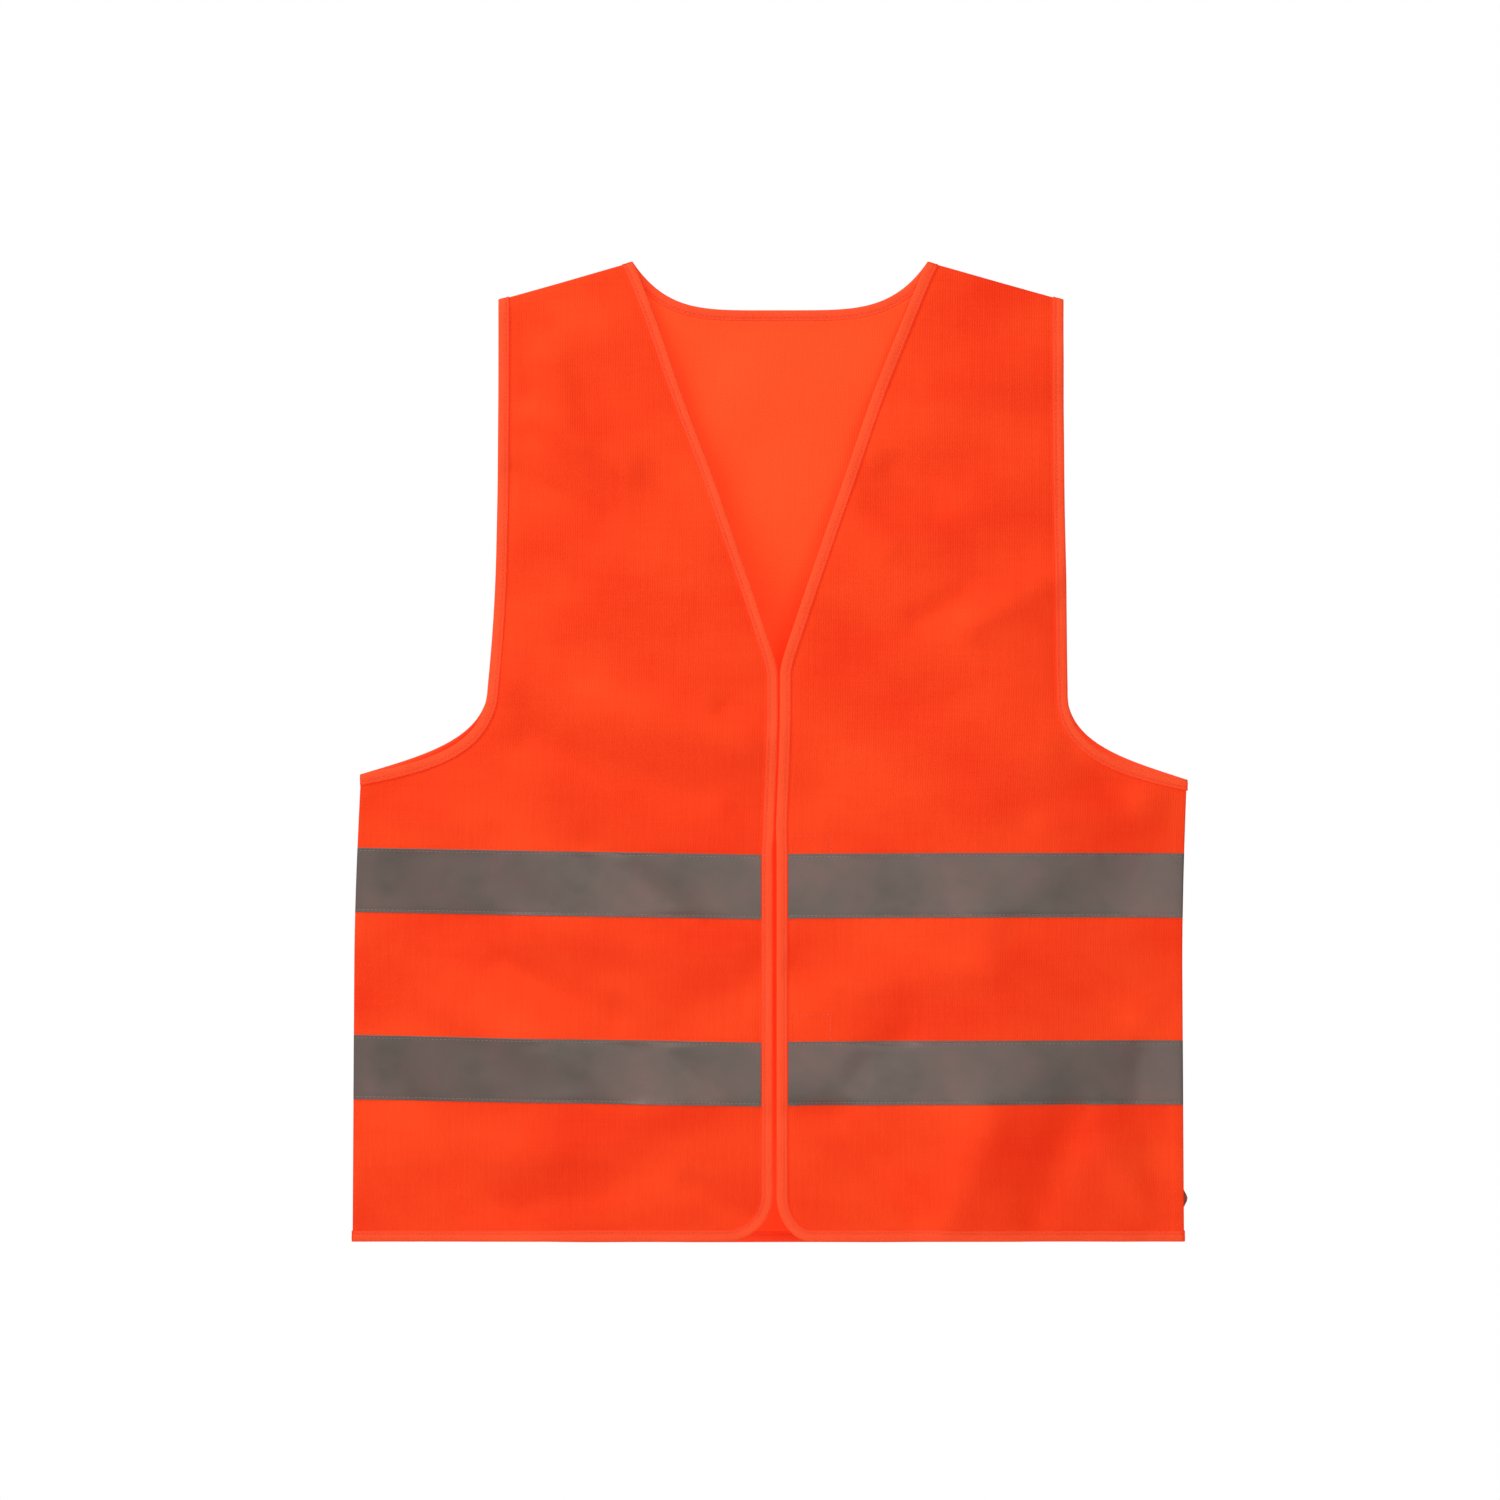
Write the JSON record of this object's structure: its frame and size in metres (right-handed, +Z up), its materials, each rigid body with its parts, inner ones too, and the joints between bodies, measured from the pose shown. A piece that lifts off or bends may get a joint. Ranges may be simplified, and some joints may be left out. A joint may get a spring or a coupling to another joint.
{
  "type": "high visibility vest",
  "caption": "Sleeveless open-front high visibility vest in orange knit with two horizontal reflective tapes, bound edges and inside hook-and-loop tabs, hanging.",
  "frame": {"origin": "on the hanger, midway between the neck points of the two shoulders", "axes": "+Z up, -Y out of the wearer's chest, +X towards the wearer's left"},
  "size_m": [0.645, 0.0787, 0.7621],
  "materials": {
    "knit": "fluorescent orange polyester warp knit, matt",
    "binding": "folded orange binding tape with one row of stitches",
    "reflective_tape": "grey-brown retroreflective tape, satin",
    "hook_and_loop": "orange hook-and-loop pile, matt",
    "label_satin": "white woven satin label, blank"
  },
  "bodies": {
    "shell": {"back_panel": "knit", "care_label": "label_satin", "hem_binding": "binding", "left_armhole_binding": "binding", "left_front_side": "knit", "left_shoulder_seam": "knit", "left_side_seam": "knit", "lower_back_tape": "reflective_tape", "lower_left_side_tape": "reflective_tape", "lower_right_side_tape": "reflective_tape", "neck_binding": "binding", "right_armhole_binding": "binding", "right_front_side": "knit", "right_shoulder_seam": "knit", "right_side_seam": "knit", "upper_back_tape": "reflective_tape", "upper_left_side_tape": "reflective_tape", "upper_right_side_tape": "reflective_tape"},
    "left_front": {"left_front_edge_binding": "binding", "left_front_flap": "knit", "lower_left_flap_tape": "reflective_tape", "lower_tab_base": "knit", "upper_left_flap_tape": "reflective_tape", "upper_tab_base": "knit"},
    "right_front": {"lower_loop_patch": "hook_and_loop", "lower_right_flap_tape": "reflective_tape", "right_front_edge_binding": "binding", "right_front_flap": "knit", "upper_loop_patch": "hook_and_loop", "upper_right_flap_tape": "reflective_tape"},
    "upper_tab": {"upper_hook_patch": "hook_and_loop", "upper_tab": "knit"},
    "lower_tab": {"lower_hook_patch": "hook_and_loop", "lower_tab": "knit"}
  },
  "joints": [
    {"name": "left_front_open", "type": "hinge", "parent": "shell", "child": "left_front", "pos_m": [0.137, -0.0214, -0.3795], "axis": [-0.0604, 0.0476, 0.997], "range_deg": [0, 150]},
    {"name": "right_front_open", "type": "hinge", "parent": "shell", "child": "right_front", "pos_m": [-0.137, -0.0214, -0.3795], "axis": [-0.0604, -0.0476, -0.997], "range_deg": [0, 150]},
    {"name": "upper_tab_fold", "type": "hinge", "parent": "left_front", "child": "upper_tab", "pos_m": [0.006, -0.02098, -0.466], "axis": [0, 0.0476, 0.9989], "range_deg": [0, 180]},
    {"name": "lower_tab_fold", "type": "hinge", "parent": "left_front", "child": "lower_tab", "pos_m": [0.006, -0.02756, -0.604], "axis": [0, 0.0476, 0.9989], "range_deg": [0, 180]}
  ]
}
